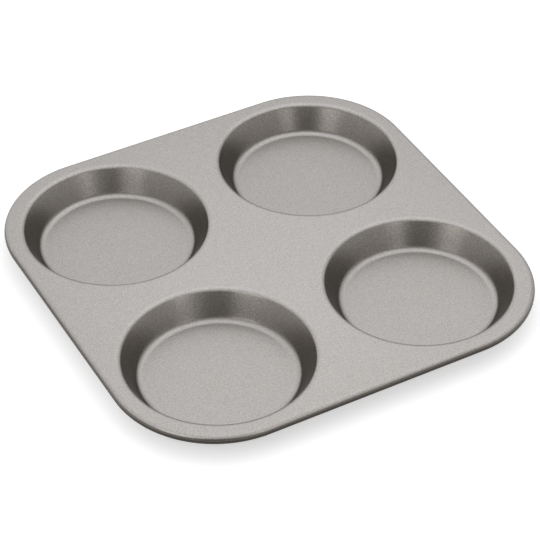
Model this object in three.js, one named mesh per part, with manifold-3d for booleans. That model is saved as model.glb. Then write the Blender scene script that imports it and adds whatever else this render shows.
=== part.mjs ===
// Yorkshire pudding pan with four round cups: one pressed steel sheet, its edge rolled over a wire.
// Millimetres, +Z up. The pan stands on the undersides of its cup floors at z = 0, centred on the origin.
import * as THREE from 'three';
import { mergeVertices } from 'three/addons/utils/BufferGeometryUtils.js';
import Module from 'manifold-3d';

const wasm = await Module();
wasm.setup();

// The cups. Mouth and floor diameters are taken at the sharp corners that the bends round off.
// Each bend is the radius on the inner side of the sheet: under the deck at the mouth, in the cup at the floor.
const CUP_MOUTH_DIAMETER = 101.3;
const CUP_FLOOR_DIAMETER = 83.8;
const CUP_DEPTH = 14.6;
const MOUTH_BEND = 2.7;
const FLOOR_BEND = 4.8;

// The deck. The land and the margin run from sharp mouth to sharp mouth, and from there to the outer edge.
const SHEET_THICKNESS = 0.7;
const CUP_LAND = 18.5;
const EDGE_MARGIN = 9.45;
const CORNER_RADIUS = 57.6;

// The rolled edge and the wire inside it.
const WIRE_DIAMETER = 3.2;
const WIRE_CLEARANCE = 0.3;
const CURL_SWEEP = 300;

// How finely the curves are cut.
const CUP_STEPS = 40;
const CORNER_STEPS = 9;
const MOUTH_STEPS = 4;
const FLOOR_STEPS = 4;
const CURL_STEPS = 10;
const WIRE_STEPS = 8;
const GRID = 1e-4;

const QUARTER = Math.PI / 2;
const CORNER_SIGNS = [[1, 1], [-1, 1], [-1, -1], [1, -1]];

const deckTop = CUP_DEPTH + SHEET_THICKNESS;
const deckUnder = deckTop - SHEET_THICKNESS;
const cupPitch = CUP_MOUTH_DIAMETER + CUP_LAND;
const panSide = cupPitch + CUP_MOUTH_DIAMETER + 2 * EDGE_MARGIN;
const cornerCentre = panSide / 2 - CORNER_RADIUS;

const curlInner = WIRE_DIAMETER / 2 + WIRE_CLEARANCE;
const curlOuter = curlInner + SHEET_THICKNESS;
const beadReach = CORNER_RADIUS - curlOuter;
const beadHeight = deckTop - curlOuter;

// Slope of the cup wall against the floor, and how far each rounded corner reaches along the flats.
const wallSlope = Math.atan2(CUP_DEPTH, (CUP_MOUTH_DIAMETER - CUP_FLOOR_DIAMETER) / 2);
const mouthOuter = MOUTH_BEND + SHEET_THICKNESS;
const floorOuter = FLOOR_BEND + SHEET_THICKNESS;
const mouthFlat = CUP_MOUTH_DIAMETER / 2 + mouthOuter * Math.tan(wallSlope / 2);
const floorFlat = CUP_FLOOR_DIAMETER / 2 - FLOOR_BEND * Math.tan(wallSlope / 2);

function arc(x, y, radius, from, to, steps) {
  return Array.from({ length: steps + 1 }, (_, i) => {
    const angle = from + ((to - from) * i) / steps;
    return new THREE.Vector2(x + radius * Math.cos(angle), y + radius * Math.sin(angle));
  });
}

// The section of a cup as radius and height: its underside going out, then its food side coming back in.
function cupSection() {
  const mouthCentre = deckTop - mouthOuter;
  const floorCentre = floorOuter;
  const mouthEnd = QUARTER + wallSlope;
  const floorEnd = wallSlope - QUARTER;
  return [
    new THREE.Vector2(0, 0),
    ...arc(floorFlat, floorCentre, floorOuter, -QUARTER, floorEnd, FLOOR_STEPS),
    ...arc(mouthFlat, mouthCentre, MOUTH_BEND, mouthEnd, QUARTER, MOUTH_STEPS),
    ...arc(mouthFlat, mouthCentre, mouthOuter, QUARTER, mouthEnd, MOUTH_STEPS),
    ...arc(floorFlat, floorCentre, FLOOR_BEND, floorEnd, -QUARTER, FLOOR_STEPS),
    new THREE.Vector2(0, SHEET_THICKNESS),
  ];
}

// The section of the rolled edge: round inside the bead to its end, then back round the outside to the deck.
function curlSection() {
  const end = QUARTER - THREE.MathUtils.degToRad(CURL_SWEEP);
  const inside = arc(beadReach, beadHeight, curlInner, QUARTER, end, CURL_STEPS);
  const outside = arc(beadReach, beadHeight, curlOuter, end, QUARTER, CURL_STEPS);
  return [...inside, ...outside, inside[0].clone()];
}

function wireSection() {
  return arc(beadReach, beadHeight, WIRE_DIAMETER / 2, 0, 4 * QUARTER, WIRE_STEPS);
}

// A turned ring whose quarters are set apart at the corners of the pan, which leaves straight sides between.
function squareRing(section) {
  const perCorner = CORNER_STEPS + 1;
  const stations = 4 * perCorner;
  const ring = new THREE.LatheGeometry(section, stations);
  const position = ring.getAttribute('position');
  for (let station = 0; station <= stations; station++) {
    const corner = Math.floor(station / perCorner) % 4;
    const turn = (corner + (station % perCorner) / CORNER_STEPS) * QUARTER;
    const [signX, signY] = CORNER_SIGNS[corner];
    section.forEach((point, i) => {
      position.setXYZ(
        station * section.length + i,
        signX * cornerCentre + point.x * Math.cos(turn),
        signY * cornerCentre + point.x * Math.sin(turn),
        point.y,
      );
    });
  }
  return ring;
}

// One row of points round a turned shape, seen from above.
function loop(turned, rowLength, row) {
  const position = turned.getAttribute('position');
  const stations = position.count / rowLength - 1;
  return Array.from({ length: stations }, (_, station) => {
    const i = station * rowLength + row;
    return new THREE.Vector2(position.getX(i), position.getY(i));
  });
}

// The flat sheet between the rolled edge and the cups, on the same points as they are.
function deckPlate(curl, cups) {
  const outline = new THREE.Shape(loop(curl, curlSection().length, 0));
  const mouthRow = FLOOR_STEPS + MOUTH_STEPS + 2;
  outline.holes = cups.map((turned) => new THREE.Path(loop(turned, cupSection().length, mouthRow)));
  const plate = new THREE.ExtrudeGeometry(outline, { depth: SHEET_THICKNESS, bevelEnabled: false });
  return plate.translate(0, 0, deckUnder);
}

function cup(signX, signY) {
  const turned = new THREE.LatheGeometry(cupSection(), CUP_STEPS);
  turned.rotateX(QUARTER);
  return turned.translate((signX * cupPitch) / 2, (signY * cupPitch) / 2, 0);
}

// Points closer than the grid become one, and triangles without area are left out.
function closedBody(geometry) {
  const bare = geometry.clone();
  bare.deleteAttribute('normal');
  bare.deleteAttribute('uv');
  const places = bare.getAttribute('position').array;
  places.forEach((value, i) => {
    places[i] = Math.round(value / GRID) * GRID;
  });
  const merged = mergeVertices(bare, GRID);
  const corners = merged.getIndex().array;
  const triangles = [];
  for (let i = 0; i < corners.length; i += 3) {
    const [a, b, c] = corners.slice(i, i + 3);
    if (a !== b && b !== c && c !== a) {
      triangles.push(a, b, c);
    }
  }
  return new wasm.Manifold(new wasm.Mesh({
    numProp: 3,
    vertProperties: Float32Array.from(merged.getAttribute('position').array),
    triVerts: Uint32Array.from(triangles),
  }));
}

function piece(name, body, look) {
  const { numProp, vertProperties, triVerts } = body.getMesh();
  const geometry = new THREE.BufferGeometry();
  const places = new Float32Array((vertProperties.length / numProp) * 3);
  for (let i = 0; i < places.length / 3; i++) {
    places.set(vertProperties.subarray(i * numProp, i * numProp + 3), i * 3);
  }
  geometry.setAttribute('position', new THREE.BufferAttribute(places, 3));
  geometry.setIndex(new THREE.BufferAttribute(triVerts, 1));
  geometry.computeVertexNormals();
  const mesh = new THREE.Mesh(geometry, new THREE.MeshStandardMaterial(look));
  mesh.name = name;
  return mesh;
}

const curl = squareRing(curlSection());
const cups = CORNER_SIGNS.map(([signX, signY]) => cup(signX, signY));
const shapes = [deckPlate(curl, cups), curl, ...cups];
const pressed = shapes.map(closedBody).reduce((whole, body) => whole.add(body));

const pan = new THREE.Group();
pan.name = 'yorkshire_pudding_pan';
pan.add(piece('pan_sheet', pressed, { color: '#aaa7a2', roughness: 0.45, metalness: 0.7 }));
pan.add(piece('rim_wire', closedBody(squareRing(wireSection())), {
  color: '#8f9193',
  roughness: 0.4,
  metalness: 1,
}));

export default pan;
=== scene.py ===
"""A Yorkshire pudding pan: one pressed sheet with a baked non-stick coat, its edge rolled over a wire.

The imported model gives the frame. Its two pieces are replaced by fine meshes of the same shape and size,
which are dressed, lit in a plain studio and seen from the photograph's viewpoint.
"""

import logging
import math
from dataclasses import dataclass, field
from enum import Enum, auto
from typing import Any

import bmesh
import bpy
from mathutils import Matrix, Vector
from mathutils.geometry import delaunay_2d_cdt


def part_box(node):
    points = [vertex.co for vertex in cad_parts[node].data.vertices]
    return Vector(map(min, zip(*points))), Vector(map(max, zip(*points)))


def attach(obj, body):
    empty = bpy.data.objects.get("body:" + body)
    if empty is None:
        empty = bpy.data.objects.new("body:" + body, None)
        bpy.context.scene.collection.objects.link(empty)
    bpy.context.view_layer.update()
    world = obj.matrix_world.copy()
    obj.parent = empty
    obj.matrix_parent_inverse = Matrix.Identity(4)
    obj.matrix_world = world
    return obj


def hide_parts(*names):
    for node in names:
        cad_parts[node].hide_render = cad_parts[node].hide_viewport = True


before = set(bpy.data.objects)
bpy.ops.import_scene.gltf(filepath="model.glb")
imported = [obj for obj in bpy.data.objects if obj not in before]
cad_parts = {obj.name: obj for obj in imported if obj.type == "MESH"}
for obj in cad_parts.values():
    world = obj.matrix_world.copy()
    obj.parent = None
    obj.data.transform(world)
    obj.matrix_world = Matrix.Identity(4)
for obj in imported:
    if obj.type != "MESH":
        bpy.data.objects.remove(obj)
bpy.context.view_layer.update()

MM = 0.001
QUARTER = math.pi / 2
FULL_TURN = 4 * QUARTER
UP = Vector((0, 0, 1))
BODY = "root"
UNDER = "under"
MERGE_MM = 1e-6
LOG = logging.getLogger("pudding_pan")

# The sRGB curve: a straight toe, then a power.
SRGB_TOE, SRGB_TOE_SLOPE = 0.04045, 12.92
SRGB_OFFSET, SRGB_POWER = 0.055, 2.4

# The Mix node repeats its socket names for each kind of data. These are the sockets for colours.
MIX_FIRST, MIX_SECOND, MIX_RESULT = 6, 7, 2

FlatPoint = tuple[float, float]
Ring = list[bmesh.types.BMVert]
Tree = bpy.types.NodeTree
Socket = bpy.types.NodeSocket


class Corner(Enum):
    """The pan's corners, counter-clockwise from above, as the signs of X and Y."""

    BACK_RIGHT = (1, 1)
    BACK_LEFT = (-1, 1)
    FRONT_LEFT = (-1, -1)
    FRONT_RIGHT = (1, -1)


class Face(Enum):
    """The two faces of the sheet, each with its share of the dark under tone that paints the bead's
    shade.
    """

    FOOD_SIDE = 0.0
    UNDERSIDE = 0.85


class Aim(Enum):
    """Where a panel of light faces."""

    PAN_AXIS = auto()
    STRAIGHT_DOWN = auto()


@dataclass(frozen=True)
class SectionPoint:
    """A point of a section: reach and height in mm, and its share of the dark under tone, the bead's
    painted shade.
    """

    reach: float
    height: float
    under: float


def linear(hex_code: str) -> tuple[float, float, float, float]:
    """Turn an sRGB hex colour into linear RGBA.

    Args:
        hex_code: the colour as "#rrggbb".

    Returns:
        Linear red, green and blue, with an alpha of 1.
    """
    shares = [int(hex_code[i : i + 2], 16) / 255 for i in (1, 3, 5)]
    red, green, blue = (
        s / SRGB_TOE_SLOPE if s <= SRGB_TOE else ((s + SRGB_OFFSET) / (1 + SRGB_OFFSET)) ** SRGB_POWER
        for s in shares
    )
    return red, green, blue, 1.0


def add_node(
    tree: Tree,
    kind: str,
    settings: dict[str, Any] | None = None,
    inputs: dict[str | int, Any] | None = None,
) -> bpy.types.Node:
    """Add a node with its settings and links.

    Args:
        tree: the node tree that takes the node.
        kind: Blender's type name of the node.
        settings: the node's properties, by name.
        inputs: values, or output sockets to link, by the input's name or number.

    Returns:
        The new node.
    """
    made = tree.nodes.new(kind)
    for name, value in (settings or {}).items():
        setattr(made, name, value)
    for key, value in (inputs or {}).items():
        if isinstance(value, Socket):
            tree.links.new(value, made.inputs[key])
        else:
            made.inputs[key].default_value = value
    return made


def empty_material(name: str) -> tuple[bpy.types.Material, Tree]:
    """Make a material with an empty node tree.

    Args:
        name: the material's name.

    Returns:
        The material and its tree.
    """
    material = bpy.data.materials.new(name)
    material.use_nodes = True
    material.node_tree.nodes.clear()
    return material, material.node_tree


def arc(x: float, y: float, radius: float, start: float, end: float, steps: int) -> list[FlatPoint]:
    """Cut an arc into points.

    Args:
        x: first coordinate of the centre.
        y: second coordinate of the centre.
        radius: the arc's radius.
        start: angle of the first point, in radians.
        end: angle of the last point, in radians.
        steps: how many chords the arc has.

    Returns:
        The points in order, both ends included.
    """
    angles = [start + (end - start) * i / steps for i in range(steps + 1)]
    return [(x + radius * math.cos(angle), y + radius * math.sin(angle)) for angle in angles]


def evenly(start: float, end: float, steps: int) -> list[float]:
    """Values between start and end, both left out, that cut the way into that many steps."""
    return [start + (end - start) * i / steps for i in range(1, steps)]


@dataclass(frozen=True)
class BakedCoat:
    """Silver-grey non-stick: fluoropolymer with metal flake, sprayed on steel from above and baked.

    The flake gives a soft metallic sheen that follows the light round a bend, and the spray leaves a fine
    grain. Its colour carries painted shade: darker where the sheet is steep, deep in a cup or far out,
    and darkest on the lower half of the bead, whose dark tone the underside mostly shares.
    """

    # The tones: the coat's own on the flats, painted shade on the walls, deeper at their feet, and the
    # dark under tone of the bead's painted shade.
    colour: str = "#c4c1be"
    wall_shade_colour: str = "#908b86"
    foot_shade_colour: str = "#7c7772"
    under_shade_colour: str = "#403b37"
    # Where the painted shade falls: as the normal leaves the upright, down the cups, and towards the
    # pan's edge.
    flat_until: float = 0.84
    shade_from: float = 0.62
    deep_shift: float = 0.07
    shade_in_cups: float = 0.12
    shade_at_edge: float = 0.14
    even_until_mm: float = 50.0
    edge_mm: float = 140.0
    # How it shines, in full and at a glance.
    edge_tint: float = 0.45
    under_edge_tint: float = 0.8
    metallic: float = 0.9
    roughness: float = 0.39
    wall_roughness: float = 0.27
    roughness_swing: float = 0.05
    # The spray's grain, and the slow mottle of its sheen.
    noise_detail: float = 2.0
    grain_mm: float = 0.65
    grain_falloff: float = 0.6
    grain_low: float = 0.3
    grain_high: float = 0.7
    grain_turn: tuple[float, float, float] = (0.6, 0.4, 0.0)
    grain_depth: float = 0.19
    shaded_grain_depth: float = 0.28
    mottle_mm: float = 45.0
    bump_mm: float = 0.012

    def material(self, deck_mm: float, floor_mm: float) -> bpy.types.Material:
        """Build the coat's material.

        Args:
            deck_mm: height of the deck's top.
            floor_mm: height of the cup floors' top.

        Returns:
            The material.
        """
        material, tree = empty_material("baked_nonstick_coat")
        coordinates = add_node(tree, "ShaderNodeTexCoord")
        place = coordinates.outputs["Object"]
        sunk = self.sunk_share(tree, place, deck_mm, floor_mm)
        steep = self.steep_share(tree, coordinates.outputs["Normal"], sunk)
        painted_shade = self.painted_shade_share(tree, place, sunk, steep)
        grain = self.grain(tree, place)
        # Each point's share of the dark under tone: painted shade on the bead's lower half, and most of
        # it underneath.
        under = add_node(tree, "ShaderNodeAttribute", {"attribute_name": UNDER}).outputs["Fac"]
        bump = add_node(
            tree,
            "ShaderNodeBump",
            inputs={"Height": grain, "Strength": 1.0, "Distance": self.bump_mm * MM},
        )
        shader = add_node(
            tree,
            "ShaderNodeBsdfPrincipled",
            inputs={
                "Base Color": self.tone_with_painted_shade(tree, grain, sunk, painted_shade, under),
                "Metallic": self.metallic,
                "Specular Tint": self.glancing_tint(tree, under),
                "Roughness": self.sheen(tree, place, steep),
                "Normal": bump.outputs["Normal"],
            },
        )
        add_node(tree, "ShaderNodeOutputMaterial", inputs={"Surface": shader.outputs["BSDF"]})
        return material

    def sunk_share(self, tree: Tree, place: Socket, deck_mm: float, floor_mm: float) -> Socket:
        """Add the nodes that say how deep in a cup a point lies.

        Args:
            tree: the coat's node tree.
            place: the point, in the pan's own coordinates.
            deck_mm: height of the deck's top.
            floor_mm: height of the cup floors' top.

        Returns:
            0 at the deck, 1 at the floors.
        """
        axes = add_node(tree, "ShaderNodeSeparateXYZ", inputs={"Vector": place})
        sunk = add_node(
            tree,
            "ShaderNodeMapRange",
            inputs={"Value": axes.outputs["Z"], "From Min": deck_mm * MM, "From Max": floor_mm * MM},
        )
        return sunk.outputs["Result"]

    def steep_share(self, tree: Tree, normal: Socket, sunk: Socket) -> Socket:
        """Add the nodes that say how steep the sheet is, counted steeper deep in a cup; the walls'
        painted shade follows it.

        Args:
            tree: the coat's node tree.
            normal: the sheet's normal.
            sunk: how deep in a cup the point lies.

        Returns:
            0 where the sheet is level, 1 on the walls.
        """
        axes = add_node(tree, "ShaderNodeSeparateXYZ", inputs={"Vector": normal})
        level = add_node(tree, "ShaderNodeMath", {"operation": "ABSOLUTE"}, {0: axes.outputs["Z"]})
        facing = add_node(
            tree,
            "ShaderNodeMath",
            {"operation": "MULTIPLY_ADD"},
            {0: sunk, 1: -self.deep_shift, 2: level.outputs["Value"]},
        )
        steep = add_node(
            tree,
            "ShaderNodeMapRange",
            inputs={
                "Value": facing.outputs["Value"],
                "From Min": self.flat_until,
                "From Max": self.shade_from,
            },
        )
        return steep.outputs["Result"]

    def painted_shade_share(self, tree: Tree, place: Socket, sunk: Socket, steep: Socket) -> Socket:
        """Add the nodes that say how much painted shade the coat gets.

        Args:
            tree: the coat's node tree.
            place: the point, in the pan's own coordinates.
            sunk: how deep in a cup the point lies.
            steep: how steep the sheet is.

        Returns:
            0 in the middle of the deck, 1 on the walls, and a little on the floors and at the pan's edge.
        """
        plan = add_node(
            tree, "ShaderNodeVectorMath", {"operation": "MULTIPLY"}, {0: place, 1: (1.0, 1.0, 0.0)}
        )
        reach = add_node(
            tree, "ShaderNodeVectorMath", {"operation": "LENGTH"}, {0: plan.outputs["Vector"]}
        )
        # Painted shade towards the pan's edge and, a little, on the cup floors.
        outer = add_node(
            tree,
            "ShaderNodeMapRange",
            inputs={
                "Value": reach.outputs["Value"],
                "From Min": self.even_until_mm * MM,
                "From Max": self.edge_mm * MM,
                "To Max": self.shade_at_edge,
            },
        )
        floors = add_node(
            tree, "ShaderNodeMath", {"operation": "MULTIPLY"}, {0: sunk, 1: self.shade_in_cups}
        )
        level = add_node(
            tree,
            "ShaderNodeMath",
            {"operation": "MAXIMUM"},
            {0: outer.outputs["Result"], 1: floors.outputs["Value"]},
        )
        painted_shade = add_node(
            tree, "ShaderNodeMath", {"operation": "MAXIMUM"}, {0: steep, 1: level.outputs["Value"]}
        )
        return painted_shade.outputs["Value"]

    def grain(self, tree: Tree, place: Socket) -> Socket:
        """Add the spray's grain.

        Args:
            tree: the coat's node tree.
            place: the point, in the pan's own coordinates.

        Returns:
            The grain's height, 0 to 1.
        """
        # Turned, so that no level face of the pan lies along the cells of the noise.
        turned = add_node(
            tree, "ShaderNodeMapping", inputs={"Vector": place, "Rotation": self.grain_turn}
        )
        # The real flake is finer than a pixel, so the grain is drawn as coarse as it needs to show.
        grain = add_node(
            tree,
            "ShaderNodeTexNoise",
            inputs={
                "Vector": turned.outputs["Vector"],
                "Scale": 1 / (self.grain_mm * MM),
                "Detail": self.noise_detail,
                "Roughness": self.grain_falloff,
            },
        )
        return grain.outputs["Fac"]

    def tone_with_painted_shade(
        self, tree: Tree, grain: Socket, sunk: Socket, painted_shade: Socket, under: Socket
    ) -> Socket:
        """Add the nodes that give the coat's colour, with its painted shade.

        Args:
            tree: the coat's node tree.
            grain: the spray's grain.
            sunk: how deep in a cup the point lies.
            painted_shade: share of the painted shade on the walls, the floors and towards the edge.
            under: share of the dark under tone, the bead's painted shade.

        Returns:
            The colour, with the flake's specks in it.
        """
        # Painted shade on the walls, darker towards their feet and on the floors.
        wall_shade_tone = add_node(
            tree,
            "ShaderNodeMix",
            {"data_type": "RGBA"},
            {"Factor": sunk, MIX_FIRST: linear(self.wall_shade_colour), MIX_SECOND: linear(self.foot_shade_colour)},
        )
        food_side = add_node(
            tree,
            "ShaderNodeMix",
            {"data_type": "RGBA"},
            {"Factor": painted_shade, MIX_FIRST: linear(self.colour), MIX_SECOND: wall_shade_tone.outputs[MIX_RESULT]},
        )
        # Painted shade on the bead's lower half, which the underside mostly shares.
        tone = add_node(
            tree,
            "ShaderNodeMix",
            {"data_type": "RGBA"},
            {
                "Factor": under,
                MIX_FIRST: food_side.outputs[MIX_RESULT],
                MIX_SECOND: linear(self.under_shade_colour),
            },
        )
        speck = add_node(
            tree,
            "ShaderNodeMapRange",
            inputs={
                "Value": grain,
                "From Min": self.grain_low,
                "From Max": self.grain_high,
                "To Min": -1.0,
            },
        )
        depth = add_node(
            tree,
            "ShaderNodeMapRange",
            inputs={"Value": painted_shade, "To Min": self.grain_depth, "To Max": self.shaded_grain_depth},
        )
        speckle = add_node(
            tree,
            "ShaderNodeMath",
            {"operation": "MULTIPLY_ADD"},
            {0: speck.outputs["Result"], 1: depth.outputs["Result"], 2: 1.0},
        )
        grained = add_node(
            tree,
            "ShaderNodeVectorMath",
            {"operation": "SCALE"},
            {0: tone.outputs[MIX_RESULT], "Scale": speckle.outputs["Value"]},
        )
        return grained.outputs["Vector"]

    def glancing_tint(self, tree: Tree, under: Socket) -> Socket:
        """Add the nodes that give the tint at a glance. The dark under tone keeps more of its gloss.

        Args:
            tree: the coat's node tree.
            under: share of the dark under tone.

        Returns:
            The tint, a grey.
        """
        tint = add_node(
            tree,
            "ShaderNodeMapRange",
            inputs={"Value": under, "To Min": self.edge_tint, "To Max": self.under_edge_tint},
        )
        return tint.outputs["Result"]

    def sheen(self, tree: Tree, place: Socket, steep: Socket) -> Socket:
        """Add the nodes that give the coat's roughness.

        Args:
            tree: the coat's node tree.
            place: the point, in the pan's own coordinates.
            steep: how steep the sheet is.

        Returns:
            The roughness, which wanders a little over the pan.
        """
        mottle = add_node(
            tree,
            "ShaderNodeTexNoise",
            inputs={
                "Vector": place,
                "Scale": 1 / (self.mottle_mm * MM),
                "Detail": self.noise_detail,
            },
        )
        # The die slides along the walls when the cups are drawn, which leaves them smoother.
        drawn = add_node(
            tree,
            "ShaderNodeMapRange",
            inputs={
                "Value": steep,
                "To Min": self.roughness - self.roughness_swing / 2,
                "To Max": self.wall_roughness - self.roughness_swing / 2,
            },
        )
        sheen = add_node(
            tree,
            "ShaderNodeMath",
            {"operation": "MULTIPLY_ADD"},
            {0: mottle.outputs["Fac"], 1: self.roughness_swing, 2: drawn.outputs["Result"]},
        )
        return sheen.outputs["Value"]


@dataclass(frozen=True)
class DrawnWire:
    """Galvanised mild steel wire: a dull grey zinc skin whose crystals mottle it faintly."""

    colour: str = "#a9acae"
    dark_colour: str = "#7d8082"
    metallic: float = 1.0
    roughness: float = 0.42
    spangle_mm: float = 1.5
    spangle_detail: float = 3.0

    def material(self) -> bpy.types.Material:
        """Build the wire's material.

        Returns:
            The material.
        """
        material, tree = empty_material("galvanised_wire")
        coordinates = add_node(tree, "ShaderNodeTexCoord")
        spangle = add_node(
            tree,
            "ShaderNodeTexNoise",
            inputs={
                "Vector": coordinates.outputs["Object"],
                "Scale": 1 / (self.spangle_mm * MM),
                "Detail": self.spangle_detail,
            },
        )
        tone = add_node(
            tree,
            "ShaderNodeMix",
            {"data_type": "RGBA"},
            {
                "Factor": spangle.outputs["Fac"],
                MIX_FIRST: linear(self.dark_colour),
                MIX_SECOND: linear(self.colour),
            },
        )
        shader = add_node(
            tree,
            "ShaderNodeBsdfPrincipled",
            inputs={
                "Base Color": tone.outputs[MIX_RESULT],
                "Metallic": self.metallic,
                "Roughness": self.roughness,
            },
        )
        add_node(tree, "ShaderNodeOutputMaterial", inputs={"Surface": shader.outputs["BSDF"]})
        return material


@dataclass(frozen=True)
class PanFrame:
    """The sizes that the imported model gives, in mm."""

    side: float
    height: float
    wire_radius: float
    bead_height: float

    @classmethod
    def from_model(cls) -> "PanFrame":
        """Read the sizes from the boxes of the model's two nodes.

        Returns:
            The sizes.
        """
        sheet_low, sheet_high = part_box("pan_sheet")
        wire_low, wire_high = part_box("rim_wire")
        return cls(
            side=(sheet_high.x - sheet_low.x) / MM,
            height=sheet_high.z / MM,
            wire_radius=(wire_high.z - wire_low.z) / 2 / MM,
            bead_height=(wire_high.z + wire_low.z) / 2 / MM,
        )


@dataclass(frozen=True)
class RoundedSquare:
    """The pan's plan: a square with quarter circles for corners. Its rings have as many points each."""

    side: float
    corner_radius: float = 57.6
    corner_steps: int = 40
    side_steps: int = 20

    @property
    def corner_centre(self) -> float:
        """Distance of a corner's centre from the pan's axis, along X and along Y."""
        return self.side / 2 - self.corner_radius

    def ring(self, reach: float) -> list[FlatPoint]:
        """Cut a ring that runs round the pan.

        Args:
            reach: the ring's radius about the corner centres, in mm.

        Returns:
            The ring's points, counter-clockwise from above.
        """
        points: list[FlatPoint] = []
        centre = self.corner_centre
        for turn, corner in enumerate(Corner):
            x, y = (sign * centre for sign in corner.value)
            end = (turn + 1) * QUARTER
            bend = arc(x, y, reach, turn * QUARTER, end, self.corner_steps)
            last_x, last_y = bend[-1]
            points += bend
            for along in evenly(0, 2 * centre, self.side_steps):
                points.append((last_x - along * math.sin(end), last_y + along * math.cos(end)))
        return points


@dataclass
class PanPiece:
    """A piece of the pan under construction: a bmesh that takes rings in mm."""

    name: str
    mesh: bmesh.types.BMesh = field(init=False)
    under: bmesh.types.BMLayerItem = field(init=False)

    def __post_init__(self) -> None:
        """Start the mesh, with a layer for each point's share of the dark under tone, the bead's painted
        shade.
        """
        self.mesh = bmesh.new()
        self.under = self.mesh.verts.layers.float.new(UNDER)

    def point(self, x: float, y: float, height: float, under: float) -> bmesh.types.BMVert:
        """Add a point.

        Args:
            x: place along X, in mm.
            y: place along Y, in mm.
            height: place along Z, in mm.
            under: share of the dark under tone.

        Returns:
            The mesh's point.
        """
        vertex = self.mesh.verts.new((x * MM, y * MM, height * MM))
        vertex[self.under] = under
        return vertex

    def ring(self, plan: list[FlatPoint], height: float, under: float) -> Ring:
        """Add a level ring of points given in mm."""
        return [self.point(x, y, height, under) for x, y in plan]

    def bridge(self, first: Ring, second: Ring) -> None:
        """Join two rings by quads.

        Args:
            first: the one ring.
            second: the other ring, of as many points.
        """
        for i in range(len(first)):
            after = (i + 1) % len(first)
            self.mesh.faces.new((first[i], first[after], second[after], second[i]))

    def skin(self, rings: list[Ring]) -> None:
        """Join each ring to the next."""
        for first, second in zip(rings, rings[1:]):
            self.bridge(first, second)

    def finish(self, material: bpy.types.Material) -> bpy.types.Object:
        """Turn the mesh into a smooth object.

        Args:
            material: the finish of the whole piece.

        Returns:
            The object, linked to the scene.
        """
        bmesh.ops.recalc_face_normals(self.mesh, faces=self.mesh.faces)
        data = bpy.data.meshes.new(self.name)
        self.mesh.to_mesh(data)
        self.mesh.free()
        data.shade_smooth()
        data.materials.append(material)
        made = bpy.data.objects.new(self.name, data)
        bpy.context.scene.collection.objects.link(made)
        return made


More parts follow.
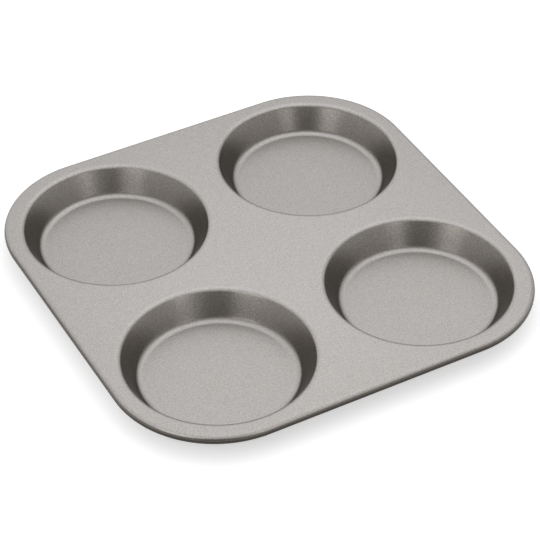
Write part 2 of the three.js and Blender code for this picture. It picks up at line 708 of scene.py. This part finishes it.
@dataclass(frozen=True)
class PressedSheet:
    """The pan's body: deck, cups and rolled edge, all of one sheet. Lengths are in mm, angles in degrees.

    Mouth and floor diameters are taken at the sharp corners that the bends round off. The bead changes
    to the dark under tone of its painted shade between shade_start and shade_end, counted round it from
    the top.
    """

    sizes: PanFrame
    plan: RoundedSquare
    thickness: float = 0.7
    cup_pitch: float = 119.8
    mouth_diameter: float = 101.3
    floor_diameter: float = 83.8
    mouth_bend: float = 2.7
    floor_bend: float = 4.8
    curl_sweep: float = 300.0
    shade_start: float = 46.0
    shade_end: float = 78.0
    # How finely it is cut. A ring at the support's distance keeps each flat's shading clear of its bend.
    cup_steps: int = 144
    bend_steps: int = 10
    wall_steps: int = 4
    floor_steps: int = 4
    curl_steps: int = 30
    lip_steps: int = 4
    support: float = 0.4
    deck_grid: float = 6.0

    @property
    def wall_slope(self) -> float:
        """Slope of the cup walls against the floors, in radians."""
        rise = self.sizes.height - self.thickness
        return math.atan2(rise, (self.mouth_diameter - self.floor_diameter) / 2)

    @property
    def mouth_radius(self) -> float:
        """Radius of the mouth's bend on the food side."""
        return self.mouth_bend + self.thickness

    @property
    def mouth_flat(self) -> float:
        """Radius at which the mouth's bend runs out into the deck."""
        return self.mouth_diameter / 2 + self.mouth_radius * math.tan(self.wall_slope / 2)

    @property
    def floor_flat(self) -> float:
        """Radius of the flat of a cup's floor."""
        return self.floor_diameter / 2 - self.floor_bend * math.tan(self.wall_slope / 2)

    @property
    def bead_radius(self) -> float:
        """Radius of the bead's outside."""
        return self.sizes.height - self.sizes.bead_height

    @property
    def bead_reach(self) -> float:
        """Distance of the bead's middle from the corner centres."""
        return self.plan.corner_radius - self.bead_radius

    def cup_section(self, face: Face) -> list[SectionPoint]:
        """Cut a cup's section on one face of the sheet.

        Args:
            face: the face to follow.

        Returns:
            Points from the deck down to just short of the cup's axis.
        """
        below = face is Face.UNDERSIDE
        sink = self.thickness if below else 0.0
        mouth = self.mouth_bend if below else self.mouth_radius
        floor = self.floor_bend + sink
        deck = self.sizes.height - sink
        level = self.thickness - sink
        slope = self.wall_slope
        mouth_arc = arc(self.mouth_flat, deck - mouth, mouth, QUARTER, QUARTER + slope, self.bend_steps)
        floor_arc = arc(self.floor_flat, level + floor, floor, slope - QUARTER, -QUARTER, self.bend_steps)
        (top_reach, top), (foot_reach, foot) = mouth_arc[-1], floor_arc[0]
        reaches = evenly(top_reach, foot_reach, self.wall_steps)
        heights = evenly(top, foot, self.wall_steps)
        inner = self.floor_flat - self.support
        flat = [inner] + evenly(inner, 0, self.floor_steps)
        points = [(self.mouth_flat + self.support, deck)] + mouth_arc + list(zip(reaches, heights))
        points += floor_arc + [(reach, level) for reach in flat]
        return [SectionPoint(reach, height, face.value) for reach, height in points]

    def curl_section(self) -> list[SectionPoint]:
        """Cut the rolled edge's section.

        Returns:
            Points from the deck's top round the bead and back inside it to the deck's underside.
        """
        height = self.sizes.bead_height
        inner = self.bead_radius - self.thickness
        end = QUARTER - math.radians(self.curl_sweep)
        middle = (self.bead_radius + inner) / 2
        lip_x = self.bead_reach + middle * math.cos(end)
        lip_y = height + middle * math.sin(end)
        outside = arc(self.bead_reach, height, self.bead_radius, QUARTER, end, self.curl_steps)
        lip = arc(lip_x, lip_y, self.thickness / 2, end, end - math.pi, self.lip_steps)
        inside = arc(self.bead_reach, height, inner, end, QUARTER, self.curl_steps)
        start = self.bead_reach - self.support
        deck_top = SectionPoint(start, self.sizes.height, Face.FOOD_SIDE.value)
        deck_under = (start, self.sizes.height - self.thickness)
        unseen = lip[1:-1] + inside + [deck_under]
        shown = [SectionPoint(x, y, self.bead_shade(i)) for i, (x, y) in enumerate(outside)]
        hidden = [SectionPoint(x, y, Face.UNDERSIDE.value) for x, y in unseen]
        return [deck_top] + shown + hidden

    def bead_shade(self, step: int) -> float:
        """Share of the painted shade at a step round the bead: none on top, all of it below."""
        angle = self.curl_sweep * step / self.curl_steps
        return min(1.0, max(0.0, (angle - self.shade_start) / (self.shade_end - self.shade_start)))

    def build(self, coat: BakedCoat) -> bpy.types.Object:
        """Build the sheet as one closed mesh.

        Args:
            coat: the finish of both faces.

        Returns:
            The sheet, riding on the pan and standing for its node.
        """
        piece = PanPiece("pan_sheet_pressed")
        edge = [
            piece.ring(self.plan.ring(point.reach), point.height, point.under)
            for point in self.curl_section()
        ]
        piece.skin(edge)
        for face, rim in ((Face.FOOD_SIDE, edge[0]), (Face.UNDERSIDE, edge[-1])):
            mouths = [self.add_cup(piece, corner, face) for corner in Corner]
            self.add_deck(piece, rim, mouths, face)
        made = piece.finish(coat.material(self.sizes.height, self.thickness))
        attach(made, BODY)
        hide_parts("pan_sheet")
        return made

    def add_cup(self, piece: PanPiece, corner: Corner, face: Face) -> Ring:
        """Add one face of a cup.

        Args:
            piece: the mesh that takes it.
            corner: which cup.
            face: which face of the sheet.

        Returns:
            The ring of points that the cup shares with the deck.
        """
        x, y = (sign * self.cup_pitch / 2 for sign in corner.value)
        rings = []
        for point in self.cup_section(face):
            circle = arc(x, y, point.reach, 0, FULL_TURN, self.cup_steps)[:-1]
            rings.append(piece.ring(circle, point.height, point.under))
        piece.skin(rings)
        last = rings[-1]
        middle = piece.point(x, y, last[0].co.z / MM, face.value)
        for i, vertex in enumerate(last):
            piece.mesh.faces.new((vertex, last[(i + 1) % len(last)], middle))
        return rings[0]

    def add_deck(
        self,
        piece: PanPiece,
        rim: Ring,
        mouths: list[Ring],
        face: Face,
    ) -> None:
        """Fill one face of the deck between the rolled edge and the cups.

        Args:
            piece: the mesh that takes it.
            rim: the edge's ring of points.
            mouths: the cups' rings of points.
            face: which face of the sheet.
        """
        vertices: list[bmesh.types.BMVert] = []
        edges: list[tuple[int, int]] = []
        for loop in (rim, *mouths):
            first, count = len(vertices), len(loop)
            edges += [(first + i, first + (i + 1) % count) for i in range(count)]
            vertices += loop
        level = rim[0].co.z / MM
        vertices += [piece.point(x, y, level, face.value) for x, y in self.deck_points()]
        flat = [Vector((vertex.co.x / MM, vertex.co.y / MM)) for vertex in vertices]
        _, _, triangles, origins, _, _ = delaunay_2d_cdt(flat, edges, [], 0, MERGE_MM)
        for triangle in triangles:
            corners = [vertices[origins[i][0]] for i in triangle]
            middle = sum((vertex.co for vertex in corners), Vector()) / len(corners) / MM
            if self.clear_of_cups(middle.x, middle.y, 0):
                piece.mesh.faces.new(corners)

    def clear_of_cups(self, x: float, y: float, gap: float) -> bool:
        """Whether a point of the deck lies clear of every cup.

        Args:
            x: place along X, in mm.
            y: place along Y, in mm.
            gap: how far outside a cup's outermost ring it has to lie, in mm.

        Returns:
            True where it does.
        """
        across = abs(abs(x) - self.cup_pitch / 2)
        along = abs(abs(y) - self.cup_pitch / 2)
        return math.hypot(across, along) > self.mouth_flat + self.support + gap

    def deck_points(self) -> list[FlatPoint]:
        """Lay a square grid on the flat of the deck.

        Returns:
            The grid's points that keep half a step from the cups and the edge.
        """
        gap = self.deck_grid / 2
        reach = self.bead_reach - self.support - gap
        count = int(self.sizes.side / 2 / self.deck_grid)
        marks = [i * self.deck_grid for i in range(-count, count + 1)]
        centre = self.plan.corner_centre
        return [
            (x, y)
            for x in marks
            for y in marks
            if self.clear_of_cups(x, y, gap)
            and math.hypot(max(abs(x) - centre, 0), max(abs(y) - centre, 0)) < reach
        ]


@dataclass(frozen=True)
class RimWire:
    """The stiffening wire that lies inside the rolled edge. Sizes are in mm."""

    sizes: PanFrame
    plan: RoundedSquare
    steps: int = 24

    def build(self, reach: float, finish: DrawnWire) -> bpy.types.Object:
        """Build the wire as a closed loop.

        Args:
            reach: distance of its middle from the corner centres, in mm.
            finish: the wire's finish.

        Returns:
            The wire, riding on the pan and standing for its node.
        """
        piece = PanPiece("rim_wire_loop")
        height, radius = self.sizes.bead_height, self.sizes.wire_radius
        section = arc(reach, height, radius, 0, FULL_TURN, self.steps)[:-1]
        rings = [piece.ring(self.plan.ring(x), z, Face.UNDERSIDE.value) for x, z in section]
        piece.skin(rings + rings[:1])
        made = piece.finish(finish.material())
        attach(made, BODY)
        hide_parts("rim_wire")
        return made


@dataclass(frozen=True)
class PhotoCamera:
    """The photograph's viewpoint, fitted to the pan's outline and its cups.

    Lengths are in mm, angles in degrees. The target lies on the deck.
    """

    azimuth: float = -28.572
    elevation: float = 40.688
    roll: float = -0.23
    distance: float = 1192.85
    target: FlatPoint = (-5.445, -14.988)
    focal_pixels: float = 2245.04
    image_pixels: float = 540.0
    sensor: float = 36.0

    @property
    def right(self) -> Vector:
        """The level direction to the viewer's right."""
        turn = math.radians(self.azimuth)
        return Vector((math.cos(turn), math.sin(turn), 0))

    @property
    def toward(self) -> Vector:
        """The level direction towards the viewer."""
        return self.right.cross(UP)

    def place(self, deck_height: float) -> None:
        """Put the camera into the scene.

        Args:
            deck_height: height of the deck, in mm.
        """
        tilt, roll = math.radians(self.elevation), math.radians(self.roll)
        back = math.cos(tilt) * self.toward + math.sin(tilt) * UP
        right = math.cos(roll) * self.right + math.sin(roll) * back.cross(self.right)
        place = (Vector((*self.target, deck_height)) + back * self.distance) * MM
        data = bpy.data.cameras.new("photo_camera")
        data.sensor_width = self.sensor
        data.lens = self.sensor * self.focal_pixels / self.image_pixels
        camera = bpy.data.objects.new("photo_camera", data)
        turned = Matrix((right, back.cross(right), back)).transposed()
        camera.matrix_world = Matrix.Translation(place) @ turned.to_4x4()
        bpy.context.scene.collection.objects.link(camera)
        bpy.context.scene.camera = camera


@dataclass(frozen=True)
class SoftSource:
    """A soft patch of light far from the pan, or a dark one where its light is negative.

    Angles are in degrees. Bearing 0 is the viewer's side, and bearings grow to the viewer's right.
    """

    bearing: float
    elevation: float
    spread: float
    fade: float
    light: float

    def glow(self, tree: Tree, way: Socket, camera: PhotoCamera) -> Socket:
        """Add the nodes that give the patch's light in a direction.

        Args:
            tree: the world's node tree.
            way: the direction.
            camera: the photograph's viewpoint.

        Returns:
            The light: all of it inside the spread, none past the fade.
        """
        turn, tilt = math.radians(self.bearing), math.radians(self.elevation)
        level = math.cos(turn) * camera.toward + math.sin(turn) * camera.right
        axis = math.cos(tilt) * level + math.sin(tilt) * UP
        along = add_node(
            tree, "ShaderNodeVectorMath", {"operation": "DOT_PRODUCT"}, {0: way, 1: tuple(axis)}
        )
        light = add_node(
            tree,
            "ShaderNodeMapRange",
            {"interpolation_type": "SMOOTHSTEP"},
            {
                "Value": along.outputs["Value"],
                "From Min": math.cos(math.radians(self.spread + self.fade)),
                "From Max": math.cos(math.radians(self.spread)),
                "To Max": self.light,
            },
        )
        return light.outputs["Result"]


@dataclass(frozen=True)
class PanelLamp:
    """A soft panel near the pan. Lengths are in mm, right and toward as the viewer sees them.

    Its light is its brightness, where 1 is white paper.
    """

    name: str
    aim: Aim
    right: float
    toward: float
    height: float
    width: float
    tall: float
    light: float

    def place(self, camera: PhotoCamera) -> None:
        """Put the panel into the scene, unseen by the camera.

        Args:
            camera: the photograph's viewpoint.
        """
        plan = camera.right * self.right + camera.toward * self.toward
        if self.aim is Aim.STRAIGHT_DOWN:
            back, along = UP, -camera.toward
        else:
            back, along = plan.normalized(), UP
        data = bpy.data.lights.new(self.name, "AREA")
        data.shape = "RECTANGLE"
        data.size = self.width * MM
        data.size_y = self.tall * MM
        # A matt panel sends out pi times its brightness from each part of its area.
        data.energy = math.pi * data.size * data.size_y * self.light
        lamp = bpy.data.objects.new(self.name, data)
        turned = Matrix((along.cross(back), along, back)).transposed()
        lamp.matrix_world = Matrix.Translation((plan + UP * self.height) * MM) @ turned.to_4x4()
        lamp.visible_camera = False
        bpy.context.scene.collection.objects.link(lamp)


@dataclass(frozen=True)
class Studio:
    """A pale floor in a dim room, under a softbox with a hot core, and two panels beside the viewer."""

    floor_size_mm: float = 8000.0
    floor_colour: str = "#f2f2f2"
    floor_top_up: float = 0.5
    room_colour: str = "#ffffff"
    room_light: float = 0.61
    # Pale walls left, right and behind on the left, and the dark place where the viewer stands.
    sources: tuple[SoftSource, ...] = (
        SoftSource(bearing=-72.0, elevation=10.0, spread=22.0, fade=34.0, light=0.16),
        SoftSource(bearing=72.0, elevation=10.0, spread=22.0, fade=34.0, light=0.11),
        SoftSource(bearing=-145.0, elevation=16.0, spread=8.0, fade=22.0, light=0.26),
        SoftSource(bearing=0.0, elevation=22.0, spread=4.0, fade=22.0, light=-0.32),
    )
    # The core hangs a little under the softbox, since of two lamps in one plane one hides the other.
    panels: tuple[PanelLamp, ...] = (
        PanelLamp(
            name="left_panel",
            aim=Aim.PAN_AXIS,
            right=-200.0,
            toward=318.0,
            height=270.0,
            width=190.0,
            tall=240.0,
            light=1.0,
        ),
        PanelLamp(
            name="right_panel",
            aim=Aim.PAN_AXIS,
            right=250.0,
            toward=367.0,
            height=270.0,
            width=130.0,
            tall=240.0,
            light=0.89,
        ),
        PanelLamp(
            name="softbox",
            aim=Aim.STRAIGHT_DOWN,
            right=0.0,
            toward=-540.0,
            height=647.0,
            width=1100.0,
            tall=1520.0,
            light=0.23,
        ),
        PanelLamp(
            name="hot_core",
            aim=Aim.STRAIGHT_DOWN,
            right=185.0,
            toward=-375.0,
            height=632.0,
            width=730.0,
            tall=750.0,
            light=0.25,
        ),
    )

    def build(self, camera: PhotoCamera) -> None:
        """Set up the floor and the light.

        Args:
            camera: the photograph's viewpoint.
        """
        self.add_floor()
        self.light_world(camera)
        for panel in self.panels:
            panel.place(camera)
        bpy.context.scene.view_settings.view_transform = "Standard"

    def floor_material(self) -> bpy.types.Material:
        """Build the floor: matt backdrop paper, which scatters the light evenly and has no sheen.

        It is topped up to white where it is seen or mirrored, and keeps the pan's shadow.

        Returns:
            The material.
        """
        material, tree = empty_material("pale_paper_floor")
        matt = add_node(tree, "ShaderNodeBsdfDiffuse", inputs={"Color": linear(self.floor_colour)})
        path = add_node(tree, "ShaderNodeLightPath")
        mirrored = add_node(
            tree,
            "ShaderNodeMath",
            {"operation": "MAXIMUM"},
            {0: path.outputs["Is Glossy Ray"], 1: path.outputs["Is Transmission Ray"]},
        )
        seen = add_node(
            tree,
            "ShaderNodeMath",
            {"operation": "MAXIMUM"},
            {0: path.outputs["Is Camera Ray"], 1: mirrored.outputs["Value"]},
        )
        level = add_node(
            tree,
            "ShaderNodeMath",
            {"operation": "MULTIPLY"},
            {0: seen.outputs["Value"], 1: self.floor_top_up},
        )
        glow = add_node(tree, "ShaderNodeEmission", inputs={"Strength": level.outputs["Value"]})
        both = add_node(
            tree, "ShaderNodeAddShader", inputs={0: matt.outputs["BSDF"], 1: glow.outputs["Emission"]}
        )
        add_node(tree, "ShaderNodeOutputMaterial", inputs={"Surface": both.outputs["Shader"]})
        return material

    def add_floor(self) -> None:
        """Lay the floor, which isn't part of the pan."""
        half = self.floor_size_mm / 2 * MM
        data = bpy.data.meshes.new("floor")
        corners = [(x * half, y * half, 0) for x, y in (corner.value for corner in Corner)]
        data.from_pydata(corners, [], [(0, 1, 2, 3)])
        data.materials.append(self.floor_material())
        floor = bpy.data.objects.new("floor", data)
        bpy.context.scene.collection.objects.link(floor)

    def light_world(self, camera: PhotoCamera) -> None:
        """Light the world with the dim room and the soft sources in it.

        Args:
            camera: the photograph's viewpoint.
        """
        world = bpy.data.worlds.new("dim_room")
        world.use_nodes = True
        tree = world.node_tree
        tree.nodes.clear()
        way = add_node(tree, "ShaderNodeTexCoord").outputs["Generated"]
        total: float | Socket = self.room_light
        for source in self.sources:
            glow = source.glow(tree, way, camera)
            lit = add_node(tree, "ShaderNodeMath", {"operation": "ADD"}, {0: total, 1: glow})
            total = lit.outputs["Value"]
        shine = add_node(
            tree, "ShaderNodeBackground", inputs={"Color": linear(self.room_colour), "Strength": total}
        )
        add_node(tree, "ShaderNodeOutputWorld", inputs={"Surface": shine.outputs["Background"]})
        bpy.context.scene.world = world


def main() -> None:
    """Build the pan, piece by piece, then the camera and the studio."""
    logging.basicConfig(level=logging.INFO, format="%(name)s: %(message)s")
    sizes = PanFrame.from_model()
    plan = RoundedSquare(side=sizes.side)
    sheet = PressedSheet(sizes, plan)
    pieces = (
        sheet.build(BakedCoat()),
        RimWire(sizes, plan).build(sheet.bead_reach, DrawnWire()),
    )
    for piece in pieces:
        LOG.info("%s: %d faces", piece.name, len(piece.data.polygons))
    camera = PhotoCamera()
    camera.place(sizes.height)
    Studio().build(camera)


if __name__ == "__main__":
    main()
